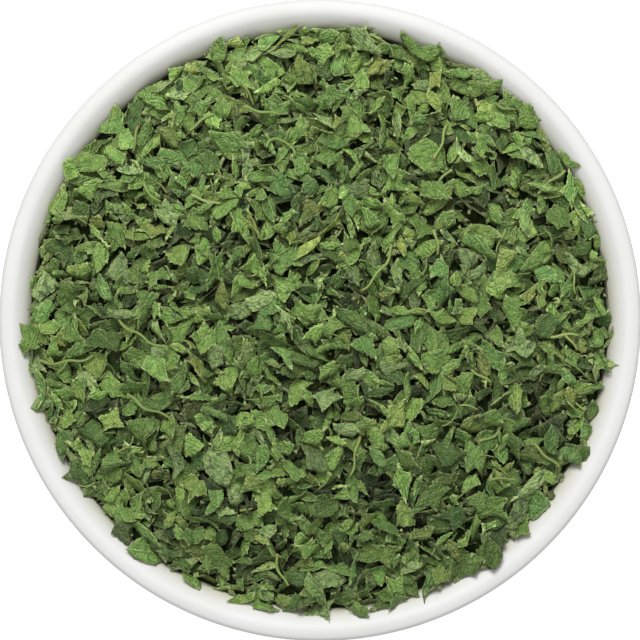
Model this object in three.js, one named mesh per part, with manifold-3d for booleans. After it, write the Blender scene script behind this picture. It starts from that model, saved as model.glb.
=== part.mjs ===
// A round white porcelain bowl, heaped with dried, cut coriander leaf: torn leaf flakes and short bits of stem.
// Millimetres, +Z up. The origin is the middle of the plane that the foot ring stands on.
import * as THREE from "three";
import { mergeVertices } from "three/addons/utils/BufferGeometryUtils.js";
import Module from "manifold-3d";

const wasm = await Module();
wasm.setup();

const MERGE_DISTANCE = 1e-4;

// Bowl
const RIM_RADIUS = 70;
const BOWL_HEIGHT = 58;
const LIP_RADIUS = 2;
const RIM_LEAN = THREE.MathUtils.degToRad(58);
const FLARE_RADIUS = 3.5;
const WALL_LEAN = THREE.MathUtils.degToRad(12);
const WALL_THICKNESS = 2 * LIP_RADIUS;
const WALL_GAIN_AT_FOOT = 1.2;
const WALL_OUTSIDE_FOOT = 1.2;
const BELLY_PULL = { radius: 56, height: 7.5 };
const UPPER_WALL_PULL = 24;
const FOOT_RADIUS = 37;
const FOOT_WIDTH = 4.2;
const FOOT_HEIGHT = 5;
const FOOT_ROUNDING = 0.7;
const UNDERSIDE_HEIGHT = 3.4;
const FLOOR_HEIGHT = 8.6;
const BOWL_SIDES = 56;
const WALL_STEPS = 7;
const FLARE_STEPS = 3;
const LIP_STEPS = { outside: 2, top: 3 };

// Heap of leaf
const CORE_EDGE_HEIGHT = 53;
const CORE_CROWN = 7.6;
const CORE_SIDES = 40;
const CORE_RINGS = 7;
const CORE_WALL_STEPS = 6;
const CORE_LEAST_STEP = 1;
const CORE_ROUGHNESS = 0.9;
const CORE_SMOOTH_BAND = 0.5;
const CORE_SEED = 3;
const EDGE_SEARCH_STEPS = 40;
const WALL_GAP = 0.4;
const CORE_GAP = 0.8;
const HEADROOM = 12;

// Leaf flakes that stand out of the heap's surface
const FLAKE_COUNT = 200;
const FLAKE_FIELD_RADIUS = 61.5;
const FLAKE_THICKNESS = 0.65;
const FLAKE_LENGTH = { least: 8, most: 12.5 };
const FLAKE_SLIMNESS = { least: 0.55, most: 0.85 };
const FLAKE_TEETH = { least: 3, most: 4 };
const FLAKE_NOTCH = { least: 0.6, most: 0.82 };
const FLAKE_SPREAD = THREE.MathUtils.degToRad(130);
const FLAKE_RISE = { least: THREE.MathUtils.degToRad(9), most: THREE.MathUtils.degToRad(30) };
const FLAKE_ROLL = THREE.MathUtils.degToRad(12);
const FLAKE_ROOT = 0.2;
const FLAKE_SEED = 7;
const PLACE_JITTER = 1.3;
const LEAST_TURN_RADIUS = 4;
const GOLDEN_ANGLE = Math.PI * (3 - Math.sqrt(5));

// Bits of stem that lie in the heap's surface. x and y are where one starts and heading is its way there, in
// degrees from +X. It turns by turn degrees over its length, and a fork is a second leg that leaves it.
const STEM_RADIUS = 0.5;
const STEM_SIDES = 6;
const STEM_STEP = 2.2;
const STEM_LEAST_STEPS = 3;
const STEM_HEIGHT = 2.3;
const STEM_SAG_AT_ENDS = 0.7;
const STEM_GAP = 0.35;
const STEMS = [
  { x: -20.2, y: 50.1, heading: 24, length: 8.4, turn: -110 },
  { x: -16.4, y: 45.9, heading: -6, length: 8, turn: -12 },
  { x: -11.5, y: 37.2, heading: 70, length: 9, turn: -170 },
  { x: -27.8, y: 27, heading: -12, length: 6.6, turn: -8 },
  { x: -38.1, y: 29.4, heading: -50, length: 5.5, turn: 8 },
  { x: -39.4, y: 42, heading: -110, length: 5.7, turn: 6 },
  { x: -28.3, y: 41, heading: 28, length: 6.4, turn: 10 },
  { x: 15.4, y: 16.1, heading: -108, length: 12.2, turn: -35 },
  { x: 27.4, y: 42.1, heading: -112, length: 8.3, turn: 3 },
  { x: 28.5, y: 32.4, heading: -134, length: 6.3, turn: 4 },
  { x: 38.3, y: 47.1, heading: -38, length: 5.6, turn: 40 },
  { x: 53.2, y: 32.5, heading: -137, length: 8, turn: -6 },
  { x: 24.4, y: 19.3, heading: -86, length: 5.4, turn: 5 },
  { x: 49.2, y: -3.6, heading: 2, length: 7, turn: 0, fork: { at: 0.55, heading: -58, length: 4.4 } },
  { x: 32.7, y: -10.8, heading: -38, length: 5, turn: 0 },
  { x: 34.4, y: -26.3, heading: 15, length: 6.2, turn: 40 },
  { x: 36.4, y: -34.8, heading: 2, length: 6.1, turn: 6 },
  { x: 8.6, y: -25, heading: -95, length: 8.9, turn: -14 },
  { x: 46.4, y: -26.8, heading: -35, length: 7.8, turn: -15 },
  { x: -45.8, y: 2.3, heading: -48, length: 16, turn: 30 },
  { x: -61, y: -8.8, heading: -8, length: 12.4, turn: 28, fork: { at: 0.5, heading: -135, length: 3.4 } },
  { x: -36.4, y: -12.3, heading: 8, length: 6.1, turn: 22 },
  { x: -41.6, y: -16.1, heading: -38, length: 10.3, turn: 20 },
  { x: -9.3, y: -51, heading: -85, length: 7.6, turn: 30 },
];

const PORCELAIN = new THREE.MeshStandardMaterial({ color: 0xf2f1ec, roughness: 0.15, metalness: 0 });
const DRIED_LEAF = new THREE.MeshStandardMaterial({ color: 0x5a7a3c, roughness: 0.85, metalness: 0 });
const DRIED_STEM = new THREE.MeshStandardMaterial({ color: 0x9aa962, roughness: 0.8, metalness: 0 });

// Repeatable numbers from 0 to 1.
function seededRandom(seed) {
  const modulus = 2 ** 32;
  let state = seed;
  return () => {
    state = (state * 1664525 + 1013904223) % modulus;
    return state / modulus;
  };
}

function between(random, { least, most }) {
  return least + random() * (most - least);
}

function solidOf(geometry) {
  const bare = geometry.clone();
  bare.deleteAttribute("normal");
  bare.deleteAttribute("uv");
  const merged = mergeVertices(bare, MERGE_DISTANCE);
  const mesh = new wasm.Mesh({
    numProp: 3,
    vertProperties: new Float32Array(merged.attributes.position.array),
    triVerts: new Uint32Array(merged.index.array),
  });
  return new wasm.Manifold(mesh);
}

function geometryOf(solid) {
  const mesh = solid.getMesh();
  const geometry = new THREE.BufferGeometry();
  geometry.setAttribute("position", new THREE.BufferAttribute(mesh.vertProperties, 3));
  geometry.setIndex(new THREE.BufferAttribute(mesh.triVerts, 1));
  geometry.computeVertexNormals();
  return geometry;
}

// The body that holds nearly all of a solid: what a cut leaves loose is dropped, and a sealed hollow is filled.
function largestBody(solid) {
  return solid.decompose().reduce((best, body) => (body.volume() > best.volume() ? body : best));
}

function lathe(profile, sides) {
  return new THREE.LatheGeometry(profile, sides).rotateX(Math.PI / 2);
}

// The bowl's section, in radius and height

// The way out of the wall's outer face where it leans out from the vertical by an angle.
function outward(lean) {
  return new THREE.Vector2(Math.cos(lean), -Math.sin(lean));
}

const lipCentre = new THREE.Vector2(RIM_RADIUS - LIP_RADIUS, BOWL_HEIGHT - LIP_RADIUS);
const flareCentre = lipCentre.clone().addScaledVector(outward(RIM_LEAN), LIP_RADIUS + FLARE_RADIUS);
const wallTop = flarePoint(WALL_LEAN, FLARE_RADIUS);
const wallTopTangent = new THREE.Vector2(Math.sin(WALL_LEAN), Math.cos(WALL_LEAN));
const outerWall = new THREE.CubicBezierCurve(
  new THREE.Vector2(FOOT_RADIUS + WALL_OUTSIDE_FOOT, FOOT_HEIGHT),
  new THREE.Vector2(BELLY_PULL.radius, BELLY_PULL.height),
  wallTop.clone().addScaledVector(wallTopTangent, -UPPER_WALL_PULL),
  wallTop,
);

// A point of the stretch where the wall turns out to the rim, on the face with the given radius there.
function flarePoint(lean, radius) {
  return flareCentre.clone().addScaledVector(outward(lean), -radius);
}

function flarePoints(radius) {
  return Array.from({ length: FLARE_STEPS }, (_, i) =>
    flarePoint(THREE.MathUtils.lerp(WALL_LEAN, RIM_LEAN, (i + 1) / FLARE_STEPS), radius),
  );
}

// Points of the lip's round from one angle to another, without the first.
function lipPoints(from, to, steps) {
  return Array.from({ length: steps }, (_, i) => {
    const angle = THREE.MathUtils.lerp(from, to, (i + 1) / steps);
    return new THREE.Vector2(Math.cos(angle), Math.sin(angle)).multiplyScalar(LIP_RADIUS).add(lipCentre);
  });
}

// The wall's inner face at share t of the way up, or a line that runs gap inside it.
function innerWallPoint(t, gap = 0) {
  const tangent = outerWall.getTangent(t);
  const inward = new THREE.Vector2(-tangent.y, tangent.x);
  const thickness = WALL_THICKNESS + WALL_GAIN_AT_FOOT * (1 - t);
  return outerWall.getPoint(t).addScaledVector(inward, thickness + gap);
}

function innerWallPoints(gap, steps = WALL_STEPS) {
  const wall = Array.from({ length: steps + 1 }, (_, i) => innerWallPoint(i / steps, gap));
  return [...wall, ...flarePoints(FLARE_RADIUS + WALL_THICKNESS + gap)];
}

function bowlProfile() {
  const footInside = FOOT_RADIUS - FOOT_WIDTH;
  const foot = [
    [0, UNDERSIDE_HEIGHT],
    [footInside - FOOT_ROUNDING, UNDERSIDE_HEIGHT],
    [footInside, FOOT_ROUNDING],
    [footInside + FOOT_ROUNDING, 0],
    [FOOT_RADIUS - FOOT_ROUNDING, 0],
    [FOOT_RADIUS, FOOT_ROUNDING],
    [FOOT_RADIUS + FOOT_ROUNDING, FOOT_HEIGHT - FOOT_ROUNDING],
  ].map(([radius, height]) => new THREE.Vector2(radius, height));
  const outside = [...outerWall.getPoints(WALL_STEPS), ...flarePoints(FLARE_RADIUS)];
  const lip = [
    ...lipPoints(-RIM_LEAN, 0, LIP_STEPS.outside),
    ...lipPoints(0, Math.PI / 2, LIP_STEPS.top),
  ];
  const inside = innerWallPoints(0).reverse();
  return [...foot, ...outside, ...lip, ...inside, new THREE.Vector2(0, FLOOR_HEIGHT)];
}

function makeBowl() {
  const mesh = new THREE.Mesh(lathe(bowlProfile(), BOWL_SIDES), PORCELAIN);
  mesh.name = "bowl";
  return mesh;
}

// The heap

const coreEdge = innerWallPoints(CORE_GAP, EDGE_SEARCH_STEPS).find((point) => point.y >= CORE_EDGE_HEIGHT);

// Height of the heap's core at a radius.
function coreHeight(radius) {
  return CORE_EDGE_HEIGHT + CORE_CROWN * (1 - (radius / coreEdge.x) ** 2);
}

// The core is a little rough where the flakes stand out of it, as more flakes lie there.
function coreSolid() {
  const side = innerWallPoints(CORE_GAP, CORE_WALL_STEPS).filter(
    (point) => point.y < CORE_EDGE_HEIGHT - CORE_LEAST_STEP,
  );
  const crown = Array.from({ length: CORE_RINGS }, (_, i) => {
    const radius = coreEdge.x * (1 - i / CORE_RINGS);
    return new THREE.Vector2(radius, coreHeight(radius));
  });
  const base = new THREE.Vector2(0, FLOOR_HEIGHT + CORE_GAP);
  const top = new THREE.Vector2(0, coreHeight(0));
  const core = lathe([base, ...side, ...crown, top], CORE_SIDES);
  core.deleteAttribute("normal");
  core.deleteAttribute("uv");
  const merged = mergeVertices(core, MERGE_DISTANCE);
  const position = merged.attributes.position;
  const random = seededRandom(CORE_SEED);
  for (let i = 0; i < position.count; i++) {
    if (position.getZ(i) > CORE_EDGE_HEIGHT + CORE_SMOOTH_BAND) {
      position.setZ(i, position.getZ(i) + CORE_ROUGHNESS * (2 * random() - 1));
    }
  }
  return solidOf(merged);
}

// The room inside the bowl and above it that the heap may fill.
function roomSolid() {
  const wall = innerWallPoints(WALL_GAP);
  const mouth = new THREE.Vector2(wall.at(-1).x, BOWL_HEIGHT + HEADROOM);
  const base = new THREE.Vector2(0, FLOOR_HEIGHT + WALL_GAP);
  return solidOf(lathe([base, ...wall, mouth, new THREE.Vector2(0, mouth.y)], BOWL_SIDES));
}

// A torn outline round the origin, its length along X: teeth and notches by turns, and a straight break at the root.
function flakeOutline(random, length) {
  const width = length * between(random, FLAKE_SLIMNESS);
  const corners = 2 * Math.round(between(random, FLAKE_TEETH)) - 1;
  const points = Array.from({ length: corners }, (_, i) => {
    const turn = FLAKE_SPREAD * ((2 * (i + 0.5 * (random() - 0.5))) / (corners - 1) - 1);
    const reach = i % 2 ? between(random, FLAKE_NOTCH) : 1;
    return new THREE.Vector2(0.5 * length * reach * Math.cos(turn), 0.5 * width * reach * Math.sin(turn));
  });
  return new THREE.Shape(points);
}

// One flake, its root sunk in the core at a place given by its radius and angle, and its tip raised.
function flakeSolid(random, radius, angle) {
  const length = between(random, FLAKE_LENGTH);
  const flake = new THREE.ExtrudeGeometry(flakeOutline(random, length), {
    depth: FLAKE_THICKNESS,
    bevelEnabled: false,
  });
  const slope = Math.atan((2 * CORE_CROWN * radius) / coreEdge.x ** 2);
  flake.translate(FLAKE_ROOT * length, 0, 0);
  flake.rotateX(FLAKE_ROLL * (2 * random() - 1));
  flake.rotateY(-between(random, FLAKE_RISE));
  flake.translate(-FLAKE_ROOT * length, 0, 0);
  flake.rotateZ(2 * Math.PI * random());
  flake.rotateY(slope);
  flake.rotateZ(angle);
  flake.translate(radius * Math.cos(angle), radius * Math.sin(angle), coreHeight(radius));
  return solidOf(flake);
}

// The flakes are spread as seeds are in a sunflower, each moved a little off its place.
function flakeSolids() {
  const random = seededRandom(FLAKE_SEED);
  return Array.from({ length: FLAKE_COUNT }, (_, i) => {
    const even = FLAKE_FIELD_RADIUS * Math.sqrt((i + 0.5) / FLAKE_COUNT);
    const radius = Math.min(FLAKE_FIELD_RADIUS, Math.abs(even + PLACE_JITTER * (2 * random() - 1)));
    const sideways = (PLACE_JITTER * (random() - 0.5)) / Math.max(radius, LEAST_TURN_RADIUS);
    return flakeSolid(random, radius, i * GOLDEN_ANGLE + sideways);
  });
}

// The line that a leg of stem follows over the heap, lower at its ends.
function stemPath({ x, y, heading, length, turn }) {
  const steps = Math.max(STEM_LEAST_STEPS, Math.ceil(length / STEM_STEP));
  const place = new THREE.Vector2(x, y);
  const points = [];
  for (let i = 0; i <= steps; i++) {
    const share = i / steps;
    const sag = STEM_SAG_AT_ENDS * (2 * share - 1) ** 2;
    points.push(new THREE.Vector3(place.x, place.y, coreHeight(place.length()) + STEM_HEIGHT - sag));
    const way = THREE.MathUtils.degToRad(heading + turn * (share + 0.5 / steps));
    place.add(new THREE.Vector2(Math.cos(way), Math.sin(way)).multiplyScalar(length / steps));
  }
  return new THREE.CatmullRomCurve3(points);
}

function legSolid(leg, radius) {
  const path = stemPath(leg);
  const section = new THREE.Shape(
    Array.from({ length: STEM_SIDES }, (_, i) => {
      const angle = (2 * Math.PI * i) / STEM_SIDES;
      return new THREE.Vector2(radius * Math.cos(angle), radius * Math.sin(angle));
    }),
  );
  const options = { extrudePath: path, steps: path.points.length - 1, bevelEnabled: false };
  return solidOf(new THREE.ExtrudeGeometry(section, options));
}

function stemSolid(stem, radius) {
  const trunk = legSolid(stem, radius);
  if (!stem.fork) {
    return trunk;
  }
  const root = stemPath(stem).getPoint(stem.fork.at);
  return trunk.add(legSolid({ ...stem.fork, x: root.x, y: root.y, turn: 0 }, radius));
}

function makeStems() {
  return STEMS.map((stem, i) => {
    const mesh = new THREE.Mesh(geometryOf(stemSolid(stem, STEM_RADIUS)), DRIED_STEM);
    mesh.name = `stem_${String(i + 1).padStart(2, "0")}`;
    return mesh;
  });
}

function makeHeap() {
  const filled = flakeSolids().reduce((heap, flake) => heap.add(flake), coreSolid());
  const inBowl = filled.intersect(roomSolid());
  const grooved = STEMS.reduce((heap, stem) => heap.subtract(stemSolid(stem, STEM_RADIUS + STEM_GAP)), inBowl);
  const mesh = new THREE.Mesh(geometryOf(largestBody(grooved)), DRIED_LEAF);
  mesh.name = "leaf_heap";
  return mesh;
}

const bowlOfLeaf = new THREE.Group();
bowlOfLeaf.add(makeBowl(), makeHeap(), ...makeStems());
export default bowlOfLeaf;
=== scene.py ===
"""A round white porcelain bowl, heaped with dried, cut coriander leaf and short bits of its stem.

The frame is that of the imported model: +Z is up, and the origin is the middle of the plane that the foot
ring stands on. Shapes are worked out in millimetres and become metres when they are made into a mesh.
"""

import logging
import math
from dataclasses import dataclass, field
from enum import Enum
from typing import Any, Mapping, Sequence

import bpy
import numpy as np
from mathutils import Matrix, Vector
from mathutils.geometry import delaunay_2d_cdt


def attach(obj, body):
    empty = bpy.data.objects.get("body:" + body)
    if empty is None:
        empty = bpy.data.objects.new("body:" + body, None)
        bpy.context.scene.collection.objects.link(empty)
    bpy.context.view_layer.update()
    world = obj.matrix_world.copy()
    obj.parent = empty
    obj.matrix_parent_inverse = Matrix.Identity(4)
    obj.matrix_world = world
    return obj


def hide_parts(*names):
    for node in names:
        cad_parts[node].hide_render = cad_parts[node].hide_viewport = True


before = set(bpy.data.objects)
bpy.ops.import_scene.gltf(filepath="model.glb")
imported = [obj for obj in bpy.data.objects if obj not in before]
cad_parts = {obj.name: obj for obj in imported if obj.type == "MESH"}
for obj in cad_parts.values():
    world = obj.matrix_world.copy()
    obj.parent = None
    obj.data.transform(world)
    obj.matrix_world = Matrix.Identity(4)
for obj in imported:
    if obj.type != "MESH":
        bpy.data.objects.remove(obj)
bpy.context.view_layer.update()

log = logging.getLogger("bowl_of_leaf")

MM = 0.001
BODY = "root"
Colour = tuple[float, float, float]


def linear(red: int, green: int, blue: int) -> Colour:
    """Turn a colour as a screen shows it into the linear colour that a shader takes.

    Args:
        red: Red from 0 to 255.
        green: Green from 0 to 255.
        blue: Blue from 0 to 255.

    Returns:
        The three linear values.
    """
    shares = (value / 255 for value in (red, green, blue))
    return tuple(s / 12.92 if s <= 0.04045 else ((s + 0.055) / 1.055) ** 2.4 for s in shares)


class Wire:
    """A node's output, with arithmetic that adds the nodes it needs."""

    def __init__(self, sheet: "NodeSheet", socket: bpy.types.NodeSocket) -> None:
        """Keep the output and the sheet of nodes that it is on."""
        self.sheet = sheet
        self.socket = socket

    @property
    def is_value(self) -> bool:
        """Whether this is a plain number and not a colour or a vector."""
        return self.socket.type in ("VALUE", "INT")

    def _reckon(self, operation: str, *terms: "Wire | float") -> "Wire":
        """Add the node that works on the terms in order.

        Args:
            operation: A Math node's operation, which a Vector Math node also has.
            *terms: Outputs or numbers.

        Returns:
            The result, a value if every term is one.
        """
        if all(not isinstance(term, Wire) or term.is_value for term in terms):
            return self.sheet.node("ShaderNodeMath", {"operation": operation}, dict(enumerate(terms)))
        vectors = [term if isinstance(term, Wire) else (term, term, term) for term in terms]
        return self.sheet.node("ShaderNodeVectorMath", {"operation": operation}, dict(enumerate(vectors)))

    def __add__(self, other: "Wire | float") -> "Wire":
        """Add."""
        return self._reckon("ADD", self, other)

    __radd__ = __add__

    def __sub__(self, other: "Wire | float") -> "Wire":
        """Take other away."""
        return self._reckon("SUBTRACT", self, other)

    def __rsub__(self, other: float) -> "Wire":
        """Take this away from other."""
        return self._reckon("SUBTRACT", other, self)

    def __mul__(self, other: "Wire | float") -> "Wire":
        """Multiply."""
        return self._reckon("MULTIPLY", self, other)

    __rmul__ = __mul__

    def __abs__(self) -> "Wire":
        """Drop the sign."""
        return self._reckon("ABSOLUTE", self)

    def __mod__(self, step: float) -> "Wire":
        """Fold back and forth between 0 and step."""
        return self._reckon("PINGPONG", self, step)

    def ramp(self, low: float, high: float) -> "Wire":
        """Rise smoothly from 0 at low to 1 at high, or fall if high is the lesser.

        Args:
            low: The value that gives 0.
            high: The value that gives 1.

        Returns:
            The share from 0 to 1.
        """
        settings = {"interpolation_type": "SMOOTHSTEP"}
        inputs = {"Value": self, "From Min": min(low, high), "From Max": max(low, high)}
        rising = self.sheet.node("ShaderNodeMapRange", settings, inputs)
        return rising if low < high else 1 - rising


class NodeSheet:
    """A material's sheet of nodes."""

    def __init__(self, material: bpy.types.Material) -> None:
        """Start an empty sheet.

        Args:
            material: The material that it belongs to.
        """
        material.use_nodes = True
        self.tree = material.node_tree
        self.tree.nodes.clear()

    def node(
        self,
        kind: str,
        settings: Mapping[str, Any] | None = None,
        inputs: Mapping[str | int, Any] | None = None,
        output: str | int = 0,
    ) -> Wire:
        """Add a node of any kind.

        Args:
            kind: The node's type, such as ShaderNodeTexNoise.
            settings: Its own settings, set before its inputs.
            inputs: Values or outputs for its inputs, by name or number.
            output: The output to return, by name or number.

        Returns:
            The chosen output.
        """
        made = self.tree.nodes.new(kind)
        for name, value in (settings or {}).items():
            setattr(made, name, value)
        for name, value in (inputs or {}).items():
            socket = made.inputs[name]
            if isinstance(value, Wire):
                self.tree.links.new(value.socket, socket)
            elif socket.type == "RGBA" and len(value) == 3:
                socket.default_value = (*value, 1.0)
            else:
                socket.default_value = value
        return Wire(self, made.outputs[output] if len(made.outputs) else None)

    def attribute(self, name: str, output: str = "Vector") -> Wire:
        """Read one of the mesh's attributes."""
        return self.node("ShaderNodeAttribute", {"attribute_name": name}, output=output)

    def parts(self, vector: Wire) -> tuple[Wire, Wire, Wire]:
        """Split a vector into its three numbers."""
        outputs = self.node("ShaderNodeSeparateXYZ", {}, {"Vector": vector}).socket.node.outputs
        return tuple(Wire(self, outputs[i]) for i in range(3))

    def vector(self, x: Wire | float, y: Wire | float, z: Wire | float) -> Wire:
        """Join three numbers into a vector."""
        return self.node("ShaderNodeCombineXYZ", {}, {"X": x, "Y": y, "Z": z})

    def noise(self, place: Wire, scale: float, detail: float = 2.0, twist: float = 0.0) -> Wire:
        """Add smooth random patches.

        Args:
            place: Where on the surface.
            scale: How many patches to one unit of place.
            detail: How many finer layers it has.
            twist: How far the patches are pulled out of shape.

        Returns:
            A value round 0.5.
        """
        inputs = {"Vector": place, "Scale": scale, "Detail": detail, "Distortion": twist}
        return self.node("ShaderNodeTexNoise", {}, inputs)

    def mix(self, share: Wire | float, first: Wire | Colour, second: Wire | Colour) -> Wire:
        """Blend two colours.

        Args:
            share: 0 gives the first and 1 the second.
            first: A colour.
            second: A colour.

        Returns:
            The blend.
        """
        settings = {"data_type": "RGBA"}
        return self.node("ShaderNodeMix", settings, {0: share, 6: first, 7: second}, output=2)

    def bump(self, height: Wire, depth: float) -> Wire:
        """Turn a height from 0 to 1 into a surface normal, 1 being a depth in metres."""
        return self.node("ShaderNodeBump", {}, {"Height": height, "Distance": depth, "Strength": 1.0})

    def surface(self, **inputs: Any) -> None:
        """Finish the sheet with a surface shader.

        Args:
            **inputs: Values or outputs for its inputs, whose names have _ for each space.
        """
        named = {name.replace("_", " "): value for name, value in inputs.items()}
        shader = self.node("ShaderNodeBsdfPrincipled", {}, named)
        self.node("ShaderNodeOutputMaterial", {}, {"Surface": shader})


def new_material(name: str, shown: Colour) -> tuple[bpy.types.Material, NodeSheet]:
    """Make a material with an empty sheet of nodes.

    Args:
        name: The material's name.
        shown: The plain colour for views without shading.

    Returns:
        The material and its sheet.
    """
    material = bpy.data.materials.new(name)
    material.diffuse_color = (*shown, 1.0)
    return material, NodeSheet(material)


@dataclass(frozen=True)
class Porcelain:
    """White glaze, greyer on the lip's outer edge as painted shade, and tinted beige low on the inner wall
    by the heap, by leaf powder and by painted warm shade. The foot's clay is bare.
    """

    glaze: Colour = linear(223, 223, 221)
    thin_glaze: Colour = linear(216, 216, 212)
    clay: Colour = linear(214, 208, 196)
    # lip_edge_shade is painted shade for the lip's outer edge.
    lip_edge_shade: Colour = linear(209, 209, 206)
    # dust is partly leaf powder and partly painted warm shade, low on the inner wall by the heap.
    dust: Colour = linear(202, 200, 162)
    bare_height: float = 0.0008
    cloud_scale: float = 45.0
    dust_and_shade_scale: float = 300.0
    wave_scale: float = 70.0
    grain_scale: float = 2600.0
    relief_depth: float = 0.00006

    def material(self) -> bpy.types.Material:
        """Make the material.

        Returns:
            The material, with its nodes.
        """
        material, sheet = new_material("porcelain", self.glaze)
        place = sheet.node("ShaderNodeTexCoord", output="Object")
        height = sheet.parts(place)[2]
        bare = height.ramp(self.bare_height, 0.5 * self.bare_height)
        cloud = sheet.noise(place, self.cloud_scale, 3.0).ramp(0.35, 0.75)
        glazed = sheet.mix(0.5 * cloud, self.glaze, self.thin_glaze)
        # Painted shade: the glaze turns greyer toward the lip's outer edge.
        glazed = sheet.mix(sheet.attribute("lip", "Fac"), glazed, self.lip_edge_shade)
        # Leaf powder and painted warm shade: low on the inner wall, near the heap, the glaze turns beige
        # and darker in patches.
        patchy = 0.5 + 0.5 * sheet.noise(place, self.dust_and_shade_scale, 3.0)
        dusted = sheet.attribute("dusted", "Fac") * patchy
        glazed = sheet.mix(dusted, glazed, self.dust)
        grain = sheet.noise(place, self.grain_scale, 3.0)
        clay = sheet.mix(grain, self.clay, self.glaze)
        waves = sheet.noise(place, self.wave_scale, 1.0)
        relief = waves * (1 - bare) + 0.6 * grain * bare
        sheet.surface(
            Base_Color=sheet.mix(bare, glazed, clay),
            Roughness=0.42 + 0.05 * cloud + 0.4 * bare,
            Specular_IOR_Level=0.12,
            Normal=sheet.bump(relief, self.relief_depth),
        )
        return material


@dataclass(frozen=True)
class DriedLeaf:
    """Dried coriander leaf.

    A flake's leaf attribute says where it was, in millimetres along and across the rib, with a number that
    sets its pattern. Its tone attribute is its lightness, hue and wear; the lightness is partly painted
    shade and painted light, partly a random tone of its own. rim is 1 round its edge, where the paler
    colour is partly the leaf's own edge and partly a painted highlight.
    """

    fresh: Colour = linear(106, 139, 62)
    olive: Colour = linear(124, 134, 62)
    bluish: Colour = linear(84, 124, 62)
    shade: Colour = linear(46, 88, 22)
    underside: Colour = linear(126, 148, 92)
    bruise: Colour = linear(44, 62, 44)
    scorch: Colour = linear(80, 70, 40)
    # pale is the veins' colour, and also that of the painted sheen and of the partly painted highlight on
    # the edges.
    pale: Colour = linear(168, 184, 118)
    side_rib_step: float = 0.5
    net_scale: float = 1.25
    relief_depth: float = 0.0006

    def material(self) -> bpy.types.Material:
        """Make the material.

        Returns:
            The material, with its nodes.
        """
        material, sheet = new_material("dried_leaf", self.fresh)
        place = sheet.attribute("leaf")
        along, across, seed = sheet.parts(place)
        light, hue, wear = sheet.parts(sheet.attribute("tone"))
        rim = sheet.attribute("rim", "Fac")

        green = sheet.mix(hue.ramp(0.5, 1.0), self.fresh, self.olive)
        green = sheet.mix(hue.ramp(0.5, 0.0), green, self.bluish)
        green = sheet.mix(wear.ramp(0.86, 0.92), green, self.underside)
        mottle = sheet.noise(place, 0.55, 4.0, 0.6)
        green = sheet.mix(mottle.ramp(0.6, 0.34) * 0.5, green, self.shade)
        # Painted shade: flakes that are made darker are also tinted toward a deeper, more saturated green.
        green = sheet.mix(light.ramp(1.1, 0.3) * 0.5, green, self.shade)
        green = sheet.mix(mottle.ramp(0.58, 0.7) * 0.4, green, self.olive)

        grain = sheet.vector(0.65 * along, 1.1 * across, seed)
        streak = sheet.noise(grain, 1.1, 4.0, 0.5)
        crease = abs(sheet.noise(grain + 17.0, 0.62, 2.0, 0.7) - 0.5)
        rib = abs(across).ramp(0.2, 0.06)
        slanted = (abs(across) * 0.8 - along) * 0.5
        side_rib = (slanted % self.side_rib_step).ramp(0.07, 0.0) * abs(across).ramp(2.8, 0.3)
        cells = {"Vector": place, "Scale": self.net_scale}
        net = sheet.node("ShaderNodeTexVoronoi", {"feature": "DISTANCE_TO_EDGE"}, cells)
        veins = rib + 0.6 * side_rib + 0.35 * net.ramp(0.1, 0.0) + 0.5 * crease.ramp(0.03, 0.0)
        green = sheet.mix(0.32 * veins, green, self.pale)

        patch = sheet.noise(place + 7.3, 0.42, 3.0, 1.2)
        bruised = patch.ramp(0.55, 0.66) * wear.ramp(0.5, 0.8)
        green = sheet.mix(0.8 * bruised, green, self.bruise)
        scorched = sheet.noise(place + 31.7, 0.6, 2.0).ramp(0.64, 0.74) * wear.ramp(0.3, 0.0)
        green = sheet.mix(0.5 * scorched, green, self.scorch)
        # Pale edge: partly the leaf's own paler edge, partly a painted highlight where light catches it.
        green = sheet.mix(0.65 * rim.ramp(0.7, 1.0), green, self.pale)
        fine = sheet.noise(place, 3.4, 2.0, 0.4)
        # Painted sheen: paler, greyer patches that stand in for soft highlights.
        green = sheet.mix(0.3 * fine.ramp(0.5, 0.72), green, self.pale)
        # The lightness from tone carries the painted shade of the lower layers and the painted light toward
        # +Y.
        brightness = light * (0.67 + 0.14 * streak + 0.76 * fine)

        wrinkle = sheet.noise(place, 1.3, 3.0, 1.0)
        relief = 0.9 * wrinkle + 0.15 * streak + 0.45 * fine + 0.45 * crease.ramp(0.0, 0.12) - 0.15 * veins
        sheet.surface(
            Base_Color=green * brightness,
            Roughness=0.38 + 0.25 * streak,
            Normal=sheet.bump(relief, self.relief_depth),
        )
        return material


@dataclass(frozen=True)
class DeepLeaf:
    """The leaf far down between the flakes, nearly black for want of light."""

    dark: Colour = linear(26, 40, 19)
    lighter: Colour = linear(46, 62, 27)
    crumb_scale: float = 620.0
    relief_depth: float = 0.0008

    def material(self) -> bpy.types.Material:
        """Make the material.

        Returns:
            The material, with its nodes.
        """
        material, sheet = new_material("deep_leaf", self.dark)
        place = sheet.node("ShaderNodeTexCoord", output="Object")
        crumbs = sheet.noise(place, self.crumb_scale, 4.0, 0.5)
        sheet.surface(
            Base_Color=sheet.mix(crumbs.ramp(0.4, 0.7), self.dark, self.lighter),
            Roughness=0.8 + 0.1 * crumbs,
            Specular_IOR_Level=0.1,
            Normal=sheet.bump(crumbs, self.relief_depth),
        )
        return material


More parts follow.
